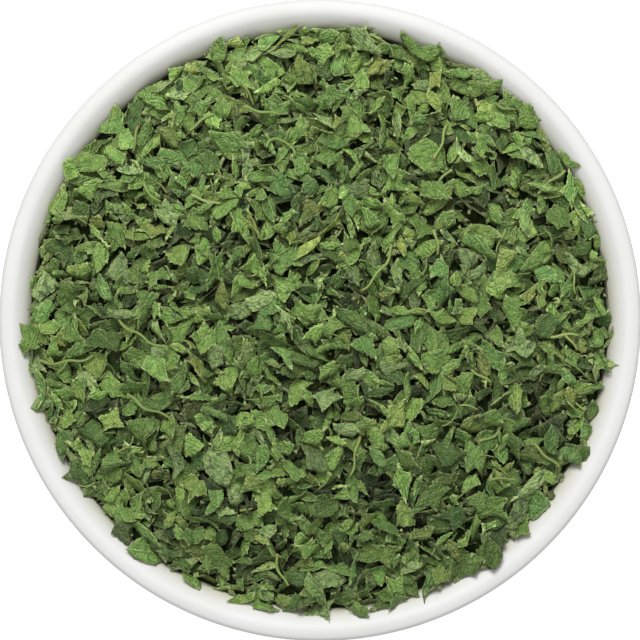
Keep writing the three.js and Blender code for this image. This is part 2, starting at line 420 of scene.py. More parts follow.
@dataclass(frozen=True)
class DriedStem:
    """Pale dried stem, ribbed along its length. A broken end is tan, or shows the pith.

    The stem attribute is the place along and around it, tone its lightness, hue and how it broke, and rim
    is 1 at its ends.
    """

    straw: Colour = linear(150, 166, 92)
    green: Colour = linear(106, 136, 58)
    tan: Colour = linear(158, 128, 76)
    pith: Colour = linear(206, 204, 166)
    relief_depth: float = 0.0002

    def material(self) -> bpy.types.Material:
        """Make the material.

        Returns:
            The material, with its nodes.
        """
        material, sheet = new_material("dried_stem", self.straw)
        along, around, seed = sheet.parts(sheet.attribute("stem"))
        light, hue, torn = sheet.parts(sheet.attribute("tone"))
        place = sheet.vector(0.5 * along, 2.2 * around, seed)
        streak = sheet.noise(place, 2.0, 3.0)
        colour = sheet.mix(hue * 0.7 + 0.6 * (streak - 0.5), self.straw, self.green)
        end = sheet.attribute("rim", "Fac")
        colour = sheet.mix(end.ramp(0.45, 0.95) * torn.ramp(0.7, 0.85), colour, self.tan)
        colour = sheet.mix(end.ramp(0.9, 1.0) * torn.ramp(0.45, 0.2), colour, self.pith)
        sheet.surface(
            Base_Color=colour * light * (0.8 + 0.4 * streak),
            Roughness=0.48 + 0.2 * streak,
            Normal=sheet.bump(streak, self.relief_depth),
        )
        return material


@dataclass(frozen=True)
class PaleFloor:
    """Smooth grey paper under the bowl, with a glow that makes it white under any lamp."""

    paper: Colour = (0.4, 0.4, 0.4)
    speck: Colour = (0.3, 0.3, 0.3)
    glow: float = 0.88
    grain_scale: float = 900.0

    def material(self) -> bpy.types.Material:
        """Make the material.

        Returns:
            The material, with its nodes.
        """
        material, sheet = new_material("pale_floor", self.paper)
        place = sheet.node("ShaderNodeTexCoord", output="Object")
        grain = sheet.noise(place, self.grain_scale, 2.0)
        sheet.surface(
            Base_Color=sheet.mix(0.04 * grain, self.paper, self.speck),
            Roughness=0.9,
            Emission_Color=(1.0, 1.0, 1.0),
            Emission_Strength=self.glow,
        )
        return material


@dataclass
class MeshParts:
    """A mesh in the making: points in millimetres, faces and a value for each point."""

    points: list[np.ndarray] = field(default_factory=list)
    faces: list[np.ndarray] = field(default_factory=list)
    sharp: list[np.ndarray] = field(default_factory=list)
    values: dict[str, list[np.ndarray]] = field(default_factory=dict)
    point_count: int = 0
    face_count: int = 0

    def add(
        self, points: np.ndarray, faces: np.ndarray, sharp: np.ndarray | None = None, **values: np.ndarray
    ) -> None:
        """Add a closed body.

        Args:
            points: Its points, one row each.
            faces: Its triangles, as rows of three point numbers.
            sharp: Which faces are flat and not smoothly shaded.
            **values: A number or a vector for each point, by attribute name.
        """
        self.points.append(points)
        self.faces.append(faces + self.point_count)
        self.sharp.append(np.zeros(len(faces), bool) if sharp is None else sharp)
        for name, value in values.items():
            self.values.setdefault(name, []).append(value)
        self.point_count += len(points)
        self.face_count += len(faces)

    def to_object(self, name: str, material: bpy.types.Material) -> bpy.types.Object:
        """Make the mesh and its object.

        Args:
            name: The object's name.
            material: Its one material.

        Returns:
            The object, linked to the scene.
        """
        points = np.concatenate(self.points) * MM
        faces = np.concatenate(self.faces).astype(np.int32)
        mesh = bpy.data.meshes.new(name)
        mesh.vertices.add(len(points))
        mesh.vertices.foreach_set("co", points.astype(np.float32).ravel())
        mesh.loops.add(faces.size)
        mesh.loops.foreach_set("vertex_index", faces.ravel())
        mesh.polygons.add(len(faces))
        mesh.polygons.foreach_set("loop_start", np.arange(0, faces.size, 3, dtype=np.int32))
        sharp = mesh.attributes.new("sharp_face", "BOOLEAN", "FACE")
        sharp.data.foreach_set("value", np.concatenate(self.sharp))
        for label, chunks in self.values.items():
            value = np.concatenate(chunks).astype(np.float32)
            kind = "FLOAT" if value.ndim == 1 else "FLOAT_VECTOR"
            attribute = mesh.attributes.new(label, kind, "POINT")
            attribute.data.foreach_set("value" if value.ndim == 1 else "vector", value.ravel())
        mesh.update(calc_edges=True)
        mesh.validate()
        mesh.materials.append(material)
        made = bpy.data.objects.new(name, mesh)
        bpy.context.scene.collection.objects.link(made)
        return made


def add_piece(
    parts: MeshParts, name: str, material: bpy.types.Material, nodes: Sequence[str] = ()
) -> None:
    """Make a piece that rides on the bowl's body, and report it.

    Args:
        parts: Its mesh.
        name: Its name.
        material: Its finish.
        nodes: The CAD nodes that it replaces, if any.
    """
    piece = parts.to_object(name, material)
    if nodes:
        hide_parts(*nodes)
    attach(piece, BODY)
    log.info("%s: %d faces", piece.name, len(piece.data.polygons))


def unit(rows: np.ndarray) -> np.ndarray:
    """Bring the vector in each row to a length of 1."""
    return rows / np.linalg.norm(rows, axis=1, keepdims=True)


def turn_angles(count: int) -> np.ndarray:
    """Angles in radians, spread evenly over one turn."""
    return 2 * math.pi * np.arange(count) / count


def ring_faces(rings: int, sides: int, turned_over: bool = False) -> np.ndarray:
    """Triangles over a stack of rings of points, closed by a fan round a pole at either end.

    Args:
        rings: How many rings there are. Their points come first, and the two poles last.
        sides: How many points a ring has.
        turned_over: Whether the faces look the other way, for rings that run clockwise.

    Returns:
        The triangles between the rings and then those of the two fans.
    """
    here = np.arange(sides)
    after = (here + 1) % sides
    between = []
    for low in range(0, (rings - 1) * sides, sides):
        high = low + sides
        between.append(np.stack([low + here, low + after, high + after], 1))
        between.append(np.stack([low + here, high + after, high + here], 1))
    last, pole = (rings - 1) * sides, rings * sides
    first_fan = np.stack([after, here, np.full_like(here, pole)], 1)
    last_fan = np.stack([last + here, last + after, np.full_like(here, pole + 1)], 1)
    walls, fans = np.concatenate(between), np.concatenate([first_fan, last_fan])
    if turned_over:
        walls, fans = walls[:, [0, 2, 1]], fans[:, [1, 0, 2]]
    return np.concatenate([walls, fans])


def arc(centre: Sequence[float], radius: float, start: float, end: float, steps: int) -> np.ndarray:
    """Points along an arc in the section's plane.

    Args:
        centre: The arc's centre, as radius and height.
        radius: Its radius.
        start: The first angle in degrees.
        end: The last angle in degrees.
        steps: How many stretches it has.

    Returns:
        The points, one row each.
    """
    angles = np.radians(np.linspace(start, end, steps + 1))
    return np.stack([centre[0] + radius * np.cos(angles), centre[1] + radius * np.sin(angles)], 1)


@dataclass
class Bowl:
    """The porcelain bowl, turned from one section. Sizes are in millimetres and leans in degrees.

    The wall is one curve up from the foot, with a belly. Its top flares into a rim whose broad crown is
    highest at crown_radius. The pulls shape the wall's curve: a point for the belly, a length for the top.
    """

    rim_radius: float = 70.0
    height: float = 58.0
    lip_radius: float = 2.0
    crown_radius: float = 67.6
    crown_outside: float = 4.4
    crown_inside: float = 2.8
    crown_lean: float = 21.0
    rim_lean: float = 58.0
    flare_radius: float = 3.5
    inner_flare_radius: float = 6.5
    wall_lean: float = 12.0
    wall_gain_at_foot: float = 1.2
    wall_outside_foot: float = 1.2
    belly_pull: tuple[float, float] = (56.0, 7.5)
    upper_wall_pull: float = 24.0
    foot_radius: float = 37.0
    foot_width: float = 4.2
    foot_height: float = 5.0
    foot_rounding: float = 0.7
    # Heights where the leaf powder and painted warm shade on the inner wall run from full to none.
    dust_and_shade_heights: tuple[float, float] = (53.5, 57.5)
    # Radii over which the lip's painted shade comes in.
    lip_radii: tuple[float, float] = (68.9, 69.6)
    underside_height: float = 3.4
    floor_height: float = 8.6
    sides: int = 240
    wall_steps: int = 40
    flare_steps: int = 10
    lip_steps: int = 16
    rounding_steps: int = 5

    def __post_init__(self) -> None:
        """Work out the wall's curve and where it turns out to the rim."""
        lean, rim_lean = math.radians(self.wall_lean), math.radians(self.rim_lean)
        self.lip_centre = np.array([self.rim_radius - self.lip_radius, self.height - self.lip_radius])
        out = np.array([math.cos(rim_lean), -math.sin(rim_lean)])
        self.flare_centre = self.lip_centre + (self.lip_radius + self.flare_radius) * out
        top = self.flare()[0]
        pull = self.upper_wall_pull * np.array([math.sin(lean), math.cos(lean)])
        start = (self.foot_radius + self.wall_outside_foot, self.foot_height)
        self.wall_curve = np.array([start, self.belly_pull, top - pull, top])

    def turn_out(self, centre: Sequence[float], radius: float) -> np.ndarray:
        """Points up an arc that leads from the wall's lean to the rim's."""
        return arc(centre, radius, 180 - self.wall_lean, 180 - self.rim_lean, self.flare_steps)

    def flare(self) -> np.ndarray:
        """Points up the outer face where the wall turns out to the rim."""
        return self.turn_out(self.flare_centre, self.flare_radius)

    def crown(self) -> np.ndarray:
        """Draw the rim's broad top.

        Returns:
            Points over it, from the outside in.
        """
        lean, steps = self.crown_lean, self.lip_steps
        outside = (self.crown_radius, self.height - self.crown_outside)
        inside = (self.crown_radius, self.height - self.crown_inside)
        return np.concatenate(
            [
                arc(outside, self.crown_outside, 90 - lean, 90, steps),
                arc(inside, self.crown_inside, 90, 180 - self.rim_lean, steps)[1:],
            ]
        )

    def inner_flare(self) -> np.ndarray:
        """Points up the inner face where the wall turns out to the rim."""
        flare = self.turn_out((0.0, 0.0), self.inner_flare_radius)
        return flare - flare[-1] + self.crown()[-1]

    def outer_wall(self) -> np.ndarray:
        """Draw the wall's outer face.

        Returns:
            Points up it, from the foot to the lip.
        """
        t = np.linspace(0, 1, self.wall_steps + 1)[:, None]
        a, b, c, d = self.wall_curve
        wall = a * (1 - t) ** 3 + 3 * b * t * (1 - t) ** 2 + 3 * c * t**2 * (1 - t) + d * t**3
        return np.concatenate([wall, self.flare()[1:]])

    def inner_wall(self) -> np.ndarray:
        """Draw the wall's inner face, which is the outer one moved in by the wall's thickness.

        Returns:
            Points up it, from the floor to the lip.
        """
        t = np.linspace(0, 1, self.wall_steps + 1)[:, None]
        a, b, c, d = self.wall_curve
        way = 3 * (b - a) * (1 - t) ** 2 + 6 * (c - b) * t * (1 - t) + 3 * (d - c) * t**2
        way = unit(way)
        inward = np.stack([-way[:, 1], way[:, 0]], 1)
        thickness = 2 * self.lip_radius + self.wall_gain_at_foot * (1 - t)
        wall = self.outer_wall()[: len(t)] + inward * thickness
        return np.concatenate([wall, self.inner_flare()[1:]])

    def section(self) -> np.ndarray:
        """Draw the whole section.

        Returns:
            Its points, from the axis under the bowl round to the axis on its floor.
        """
        r, n = self.foot_rounding, self.rounding_steps
        inside = self.foot_radius - self.foot_width
        foot = [
            [[0.0, self.underside_height], [inside - 2 * r, self.underside_height]],
            arc((inside - r, self.underside_height - r), r, 90, 0, n),
            arc((inside + r, r), r, 180, 270, n),
            arc((self.foot_radius - r, r), r, 270, 360, n),
            arc((self.foot_radius + 2 * r, self.foot_height - r), r, 180, 90, n)[:-1],
        ]
        crown = self.crown()
        turn = 90 - self.crown_lean
        corner = (self.rim_radius - crown[0, 0]) / (1 - math.cos(math.radians(turn)))
        corner_height = crown[0, 1] - corner * math.sin(math.radians(turn))
        lip = [
            arc(self.lip_centre, self.lip_radius, -self.rim_lean, 0, self.lip_steps)[1:],
            arc((self.rim_radius - corner, corner_height), corner, 0, turn, n)[:-1],
            crown,
        ]
        floor = [[0.0, self.floor_height]]
        return np.concatenate([*foot, self.outer_wall(), *lip, self.inner_wall()[::-1][1:], floor])

    def limit_at(self, height: np.ndarray) -> np.ndarray:
        """How far from the axis a thing may reach inside the bowl.

        Args:
            height: Heights in millimetres.

        Returns:
            The inner face's radius at each height, and the rim's highest line above the bowl.
        """
        inside = self.inner_face()
        return np.interp(height, inside[:, 1], inside[:, 0])

    def floor_at(self, radius: np.ndarray) -> np.ndarray:
        """Height of the inner face at some distances from the axis."""
        inside = self.inner_face()
        return np.interp(radius, inside[:, 0], inside[:, 1])

    def inner_face(self) -> np.ndarray:
        """Points up the inner face and on to the rim's highest line."""
        return np.concatenate([self.inner_wall()[:-1], self.crown()[: self.lip_steps - 1 : -1]])

    def build(self, material: bpy.types.Material) -> None:
        """Turn the section round the axis.

        The points' dusted value says how much leaf powder and painted warm shade lie there, low on the
        inner wall, and their lip value how far out on the lip they are, which sets the lip's painted shade.

        Args:
            material: The glaze.
        """
        section = self.section()
        rings = section[1:-1]
        angles = turn_angles(self.sides)
        ring_x = rings[:, :1] * np.cos(angles)
        ring_y = rings[:, :1] * np.sin(angles)
        ring_z = np.repeat(rings[:, 1:], self.sides, 1)
        points = np.stack([ring_x, ring_y, ring_z], 2).reshape(-1, 3)
        points = np.concatenate([points, [[0, 0, section[0, 1]], [0, 0, section[-1, 1]]]])
        inner_rings = len(self.inner_wall()) - 1
        # How much leaf powder and painted warm shade each ring gets.
        dusted = np.interp(rings[:, 1], self.dust_and_shade_heights, (1.0, 0.0))
        dusted[:-inner_rings] = 0
        parts = MeshParts()
        parts.add(
            points,
            ring_faces(len(rings), self.sides),
            dusted=np.concatenate([np.repeat(dusted, self.sides), [0, 1]]),
            lip=np.interp(np.hypot(points[:, 0], points[:, 1]), self.lip_radii, (0.0, 1.0)),
        )
        add_piece(parts, "porcelain_bowl", material, ["bowl"])


class Side(Enum):
    """How one side of a flake came about."""

    MARGIN = "the leaf's own toothed edge"
    BREAK = "a jagged break"
    SMOOTH = "a clean cut or a break along a rib"


@dataclass(frozen=True)
class FlakeKind:
    """What one kind of flake is like. Lengths are in millimetres.

    share is its part of the heap, and sides the parts of its sides that are MARGIN, BREAK and SMOOTH.
    lobes is how deep every other corner is cut in, uneven how far its corners' reach varies, hook how far
    it bends in its own plane, and bow how far its sides bow out, with the spread of that.
    """

    share: float
    length: tuple[float, float]
    slimness: tuple[float, float]
    corners: tuple[int, int]
    sides: tuple[float, float, float]
    lobes: float = 0.0
    curl: float = 1.0
    uneven: float = 0.3
    hook: float = 0.0
    bow: tuple[float, float] = (0.0, 0.08)


TORN = FlakeKind(0.28, (5.5, 12.5), (0.4, 0.75), (4, 7), (0.38, 0.16, 0.46), uneven=0.6, bow=(0.01, 0.09))
LOBED = FlakeKind(0.16, (7.5, 13.5), (0.5, 0.85), (6, 9), (0.7, 0.05, 0.25), lobes=0.6, bow=(0.03, 0.06))
SHARD = FlakeKind(0.24, (6.0, 13.5), (0.16, 0.34), (3, 5), (0.25, 0.1, 0.65), hook=0.06, bow=(0.06, 0.07))
POINTED = FlakeKind(0.18, (5.0, 11.0), (0.4, 0.75), (3, 5), (0.35, 0.15, 0.5), uneven=0.5, bow=(0.02, 0.09))
SCRAP = FlakeKind(0.14, (2.4, 5.2), (0.35, 0.9), (3, 5), (0.2, 0.25, 0.55))
CRUMB = FlakeKind(1.0, (0.9, 2.2), (0.35, 0.9), (3, 4), (0.0, 0.4, 0.6), curl=0.5)
KINDS = (TORN, LOBED, SHARD, POINTED, SCRAP)


@dataclass
class FlakeShape:
    """A flake laid flat: points round its rim and inside it, and triangles between them."""

    points: np.ndarray
    rim_count: int
    faces: np.ndarray
    length: float


@dataclass
class FlakeCutter:
    """Cuts flat flakes of coriander leaf. Sizes are in millimetres."""

    rng: np.random.Generator
    tooth: float = 1.15
    tooth_depth: float = 0.36
    jag: float = 0.08
    margin_step: float = 0.36
    break_step: float = 0.6
    smooth_step: float = 0.75
    inner_step: float = 0.75
    rim_clearance: float = 0.27
    row_step: float = 0.87
    inner_shift: float = 0.14
    corner_shift: float = 0.3
    lobe_cut: tuple[float, float] = (0.6, 1.0)
    tooth_size: tuple[float, float] = (0.5, 1.2)
    tooth_middle: tuple[float, float] = (0.25, 0.5)
    length_spread: tuple[float, float] = (1.6, 2.2)

    def corners(self, kind: FlakeKind, length: float) -> np.ndarray:
        """Place a flake's corners round its middle.

        Args:
            kind: What it is like.
            length: Its length.

        Returns:
            The corners, one row each.
        """
        rng = self.rng
        count = int(rng.integers(kind.corners[0], kind.corners[1] + 1))
        shift = rng.uniform(-self.corner_shift, self.corner_shift, count)
        turns = (np.arange(count) + shift) * 2 * math.pi / count
        turns += rng.uniform(0, 2 * math.pi)
        reach = rng.uniform(1 - kind.uneven, 1.0, count)
        reach[1::2] *= 1 - kind.lobes * rng.uniform(*self.lobe_cut, len(reach[1::2]))
        width = length * rng.uniform(*kind.slimness)
        x, y = 0.5 * length * reach * np.cos(turns), 0.5 * width * reach * np.sin(turns)
        return np.stack([x, y + rng.normal(0, kind.hook) * x * x], 1)

    def side(
        self, start: np.ndarray, end: np.ndarray, style: Side, bow: tuple[float, float], coarse: float
    ) -> np.ndarray:
        """Points along one side of a flake, without its last corner.

        Args:
            start: The corner it starts at.
            end: The corner it ends at.
            style: How it came about.
            bow: How far it bows out as a share of its span, on average, and the spread of that.
            coarse: By how much its steps are longer than usual.

        Returns:
            The points, one row each.
        """
        rng = self.rng
        way = end - start
        span = float(np.hypot(*way))
        step = {Side.MARGIN: self.margin_step, Side.BREAK: self.break_step, Side.SMOOTH: self.smooth_step}
        count = max(1, round(span / (step[style] * coarse)))
        share = np.arange(count) / count
        off = 4 * span * rng.normal(*bow) * share * (1 - share)
        if style is Side.MARGIN:
            phase = share * span / self.tooth + rng.uniform(0, 1)
            depth = self.tooth_depth * rng.uniform(*self.tooth_size)
            off -= depth * 2 * np.abs(phase % 1 - rng.uniform(*self.tooth_middle))
        elif style is Side.BREAK:
            off += rng.normal(0, self.jag, count)
        off[0] = 0
        out = np.array([way[1], -way[0]]) / max(span, 1e-6)
        return start + share[:, None] * way + off[:, None] * out

    def inside(self, rim: np.ndarray, step: float) -> np.ndarray:
        """Spread points inside a rim, clear of it.

        Args:
            rim: The rim's points in order.
            step: How far apart the points are.

        Returns:
            The points, one row each.
        """
        low, high = rim.min(0), rim.max(0)
        columns = np.arange(low[0], high[0], step)
        rows = np.arange(low[1], high[1], self.row_step * step)
        x, y = np.meshgrid(columns, rows)
        x = x + 0.5 * step * (np.arange(len(rows)) % 2)[:, None]
        spots = np.stack([x.ravel(), y.ravel()], 1)
        spots = spots + self.rng.uniform(-self.inner_shift, self.inner_shift, spots.shape) * step
        here, after = rim, np.roll(rim, -1, 0)
        edge = after - here
        across = spots[:, None, :] - here
        crosses = (here[:, 1] > spots[:, 1:]) != (after[:, 1] > spots[:, 1:])
        rise = np.where(np.abs(edge[:, 1]) < 1e-9, 1e-9, edge[:, 1])
        left = spots[:, :1] < here[:, 0] + edge[:, 0] * across[..., 1] / rise
        within = (crosses & left).sum(1) % 2 == 1
        share = np.clip((across * edge).sum(2) / np.maximum((edge**2).sum(1), 1e-9), 0, 1)
        away = np.linalg.norm(across - share[..., None] * edge, axis=2).min(1)
        return spots[within & (away > self.rim_clearance * step / self.inner_step)]

    def cut(self, kind: FlakeKind, coarse: float = 1.0) -> FlakeShape:
        """Cut one flake.

        Args:
            kind: What it is like.
            coarse: By how much its mesh is coarser than usual.

        Returns:
            The flat flake.
        """
        while True:
            low, high = kind.length
            length = low + (high - low) * self.rng.beta(*self.length_spread)
            corners = self.corners(kind, length)
            styles = self.rng.choice(list(Side), len(corners), p=kind.sides)
            ends = np.roll(corners, -1, 0)
            spans = zip(corners, ends, styles)
            rim = np.concatenate([self.side(a, b, style, kind.bow, coarse) for a, b, style in spans])
            if len(rim) < 3:
                continue
            inner = self.inside(rim, self.inner_step * coarse)
            points = np.concatenate([rim, inner])
            loop = [(i, (i + 1) % len(rim)) for i in range(len(rim))]
            made = delaunay_2d_cdt([Vector(p) for p in points], loop, [], 1, 1e-5)
            spots, faces = made[0], made[2]
            if len(spots) == len(points) and len(faces) > 0:
                return FlakeShape(points, len(rim), np.array(faces, int), length)


@dataclass
class Curl:
    """How a dried flake has curled: it bends, folds, ripples and twists. Lengths are in millimetres."""

    rng: np.random.Generator
    ripple: float = 0.085
    fold: float = 0.25
    folds: int = 2
    fold_rounding: float = 0.08
    twist: float = 0.02
    thickness: float = 0.12
    rolled_share: float = 0.11
    rolled_radius: tuple[float, float] = (1.3, 3.0)
    open_radius: float = 6.4
    open_spread: tuple[float, float] = (1.4, 0.5)
    least_bend: float = 0.08
    waves: tuple[tuple[float, float], ...] = ((2.2, 4.5), (1.3, 2.2))
    wave_height: tuple[float, float] = (0.3, 1.3)
    full_wave: float = 3.0
    fold_way: tuple[float, float] = (0.5 * math.pi, 0.7)
    fold_place: float = 0.2

    def apply(self, flake: FlakeShape, kind: FlakeKind) -> np.ndarray:
        """Curl a flat flake.

        Args:
            flake: The flat flake.
            kind: What it is like.

        Returns:
            The points of its middle surface.
        """
        rng = self.rng
        x, y = flake.points.T
        lift = np.zeros(len(x))
        for wave in [rng.uniform(*span) for span in self.waves]:
            way = rng.uniform(0, 2 * math.pi)
            phase = rng.uniform(0, 2 * math.pi)
            height = self.ripple * kind.curl * rng.uniform(*self.wave_height)
            height *= min(1.0, wave / self.full_wave)
            lift += height * np.sin(2 * math.pi * (x * math.cos(way) + y * math.sin(way)) / wave + phase)
        for _ in range(self.folds):
            way = rng.normal(*self.fold_way)
            place = rng.uniform(-self.fold_place, self.fold_place) * flake.length
            beyond = x * math.cos(way) + y * math.sin(way) - place
            lift += rng.normal(0, self.fold) * np.hypot(beyond, self.fold_rounding)
        lift += rng.normal(0, self.twist) * x * y
        rolled = rng.random() < self.rolled_share
        if rolled:
            radius = rng.uniform(*self.rolled_radius)
        else:
            radius = self.open_radius / max(rng.gamma(*self.open_spread), self.least_bend)
        bend = rng.choice((-1.0, 1.0)) / radius
        way = rng.uniform(0, math.pi)
        ahead = x * math.cos(way) + y * math.sin(way)
        aside = y * math.cos(way) - x * math.sin(way)
        turn = bend * ahead
        forward = np.sin(turn) / bend - lift * np.sin(turn)
        height = (1 - np.cos(turn)) / bend + lift * np.cos(turn)
        return np.stack(
            [
                forward * math.cos(way) - aside * math.sin(way),
                forward * math.sin(way) + aside * math.cos(way),
                height - height.mean(),
            ],
            1,
        )


def point_normals(points: np.ndarray, faces: np.ndarray) -> np.ndarray:
    """Surface normals at the points of a triangle mesh.

    Args:
        points: The points, one row each.
        faces: The triangles.

    Returns:
        A unit vector for each point.
    """
    a, b, c = (points[faces[:, i]] for i in range(3))
    flat = np.cross(b - a, c - a)
    normals = np.zeros_like(points)
    for i in range(3):
        np.add.at(normals, faces[:, i], flat)
    return normals / np.maximum(np.linalg.norm(normals, axis=1, keepdims=True), 1e-12)


def plate(
    middle: np.ndarray, flake: FlakeShape, thickness: float
) -> tuple[np.ndarray, np.ndarray, np.ndarray]:
    """Give a flake its thickness.

    Args:
        middle: The points of its middle surface.
        flake: The flake, for its faces and rim.
        thickness: Its thickness.

    Returns:
        The closed body's points, its faces, and which of those are at the rim.
    """
    count, rim = len(middle), np.arange(flake.rim_count)
    after = (rim + 1) % flake.rim_count
    half = 0.5 * thickness * point_normals(middle, flake.faces)
    points = np.concatenate([middle + half, middle - half])
    rims = np.concatenate(
        [np.stack([rim, rim + count, after + count], 1), np.stack([rim, after + count, after], 1)]
    )
    faces = np.concatenate([flake.faces, flake.faces[:, ::-1] + count, rims])
    at_rim = np.arange(len(faces)) >= 2 * len(flake.faces)
    return points, faces, at_rim


# Where each triangle is tested against the heap, as shares of its three corners
TRIANGLE_SPOTS = np.array(
    [[1, 0, 0], [0, 1, 0], [0, 0, 1], [0.5, 0.5, 0], [0, 0.5, 0.5], [0.5, 0, 0.5], [1 / 3, 1 / 3, 1 / 3]]
)


class HeapTop:
    """The heap's top as it grows: its height on a square grid, in millimetres."""

    # Holds the plane under a small thing near level
    steadiness = 0.5

    def __init__(self, reach: float, cell: float, form: "HeapForm", bowl: Bowl) -> None:
        """Start with the ground that the flakes fall on.

        Args:
            reach: How far the grid goes from the axis.
            cell: The side of a cell.
            form: The form of the heap, whose foot is the ground.
            bowl: The bowl, whose wall the outer flakes lie on.
        """
        self.cell = cell
        self.reach = reach
        self.count = int(2 * reach / cell)
        middle = (np.arange(self.count) + 0.5) * cell - reach
        x, y = np.meshgrid(middle, middle)
        self.target = form.top(x, y).ravel()
        self.height = np.maximum(form.ground(x, y), bowl.floor_at(np.hypot(x, y))).ravel()

    def cells(self, x: np.ndarray, y: np.ndarray) -> np.ndarray:
        """Find the cells under some places.

        Args:
            x: Places along X.
            y: Places along Y.

        Returns:
            The cells' numbers.
        """
        column = np.clip(((x + self.reach) / self.cell).astype(int), 0, self.count - 1)
        row = np.clip(((y + self.reach) / self.cell).astype(int), 0, self.count - 1)
        return row * self.count + column

    def slope(self, x: np.ndarray, y: np.ndarray, steepest: float) -> tuple[float, float]:
        """Fit a plane to the top under some places.

        Args:
            x: Places along X.
            y: Places along Y.
            steepest: The most that it may rise for each millimetre.

        Returns:
            The rise along X and along Y.
        """
        height = self.height[self.cells(x, y)]
        dx, dy, dz = x - x.mean(), y - y.mean(), height - height.mean()
        xx, yy = (dx * dx).sum() + self.steadiness, (dy * dy).sum() + self.steadiness
        xy = (dx * dy).sum()
        xz, yz = (dx * dz).sum(), (dy * dz).sum()
        spread = max(xx * yy - xy * xy, 1e-6)
        rise = np.array([(yy * xz - xy * yz) / spread, (xx * yz - xy * xz) / spread])
        rise *= min(1.0, steepest / max(float(np.hypot(*rise)), 1e-6))
        return float(rise[0]), float(rise[1])

    def rest(self, spots: np.ndarray, tucked: float = 0.0) -> float:
        """How far a thing has to be raised to rest on the top.

        Args:
            spots: Places on the thing.
            tucked: The share of it that slips in under what is there.

        Returns:
            The rise.
        """
        gaps = self.height[self.cells(spots[:, 0], spots[:, 1])] - spots[:, 2]
        order = max(0, math.ceil((1 - tucked) * len(gaps)) - 1)
        return float(np.partition(gaps, order)[order])

    def cover(self, spots: np.ndarray) -> None:
        """Raise the top to the places that a thing takes up."""
        np.maximum.at(self.height, self.cells(spots[:, 0], spots[:, 1]), spots[:, 2])

    def lowest_place(self, rng: np.random.Generator, reach: float, tries: int) -> np.ndarray:
        """Pick the place that lacks the most of several random ones.

        Args:
            rng: The random numbers.
            reach: How far from the axis it may be.
            tries: How many places are looked at.

        Returns:
            The place's x and y.
        """
        radius = reach * np.sqrt(rng.random(tries))
        angle = 2 * math.pi * rng.random(tries)
        x, y = radius * np.cos(angle), radius * np.sin(angle)
        cells = self.cells(x, y)
        lack = self.target[cells] - self.height[cells]
        best = int(lack.argmax())
        return np.array([x[best], y[best]])


@dataclass(frozen=True)
class HeapForm:
    """The form of the heap's top. Sizes are in millimetres."""

    edge_height: float = 55.6
    crown: float = 6.8
    edge_radius: float = 64.4
    swell: float = 0.55
    swell_turns: float = 0.16
    first_swell: tuple[float, float] = (0.7, 0.9)
    second_swell: tuple[float, float, float] = (1.3, 0.6, 2.1)
    ground_depth: float = 3.2

    def top(self, x: np.ndarray, y: np.ndarray) -> np.ndarray:
        """Work out the dome, which swells and dips a little.

        Args:
            x: Places along X.
            y: Places along Y.

        Returns:
            The top's height at each place.
        """
        lean, shift = self.first_swell
        swell = np.sin(self.swell_turns * x + lean * y * self.swell_turns + shift)
        along, lean, shift = self.second_swell
        swell = swell + np.sin(along * self.swell_turns * y - lean * self.swell_turns * x + shift)
        rise = 1 - (x * x + y * y) / self.edge_radius**2
        return self.edge_height + self.crown * rise + self.swell * swell

    def ground(self, x: np.ndarray, y: np.ndarray) -> np.ndarray:
        """Height of the deep leaf that the loose flakes lie on."""
        return self.top(x, y) - self.ground_depth


def turned(yaw: float, rise: tuple[float, float]) -> np.ndarray:
    """The rotation that turns a thing about Z and then lays it on a slope.

    Args:
        yaw: The turn about Z.
        rise: The slope's rise along X and along Y.

    Returns:
        A three by three matrix.
    """
    spin = np.array([[math.cos(yaw), -math.sin(yaw), 0], [math.sin(yaw), math.cos(yaw), 0], [0, 0, 1]])
    up = np.array([-rise[0], -rise[1], 1.0])
    up /= np.linalg.norm(up)
    lean = np.array([[0, 0, up[0]], [0, 0, up[1]], [-up[0], -up[1], 0]])
    return (np.eye(3) + lean + lean @ lean / (1 + up[2])) @ spin


@dataclass(frozen=True)
class Layer:
    """One part of the heap, from the bottom up.

    count is how many flakes are dropped, and coarse how much coarser their meshes are than usual. tilt is
    how far they lean from the slope under them, tries how many ways to lie each one has, and places how
    many places are looked at for each way. light is how light they are, which is painted shade and light:
    the lower layers are made darker for the shade they lie in, and the top ones lighter.
    """

    name: str
    count: int
    coarse: float
    tilt: float
    tries: int
    places: int
    light: float
    kinds: tuple[FlakeKind, ...] = KINDS


# The light column is painted shade and light: lower layers are made darker for the shade they lie in, the
# top ones lighter.
DEEP = Layer("deep_flakes", 950, 2.4, 0.3, 1, 5, 0.34)
MIDDLE = Layer("middle_flakes", 750, 1.4, 0.4, 2, 7, 0.72)
CRUMBS = Layer("leaf_crumbs", 700, 2.4, 0.3, 1, 6, 0.9, (CRUMB,))
TOP = Layer("top_flakes", 950, 1.0, 0.42, 3, 8, 1.11)
LAST = Layer("last_flakes", 220, 1.0, 0.34, 3, 6, 1.16)


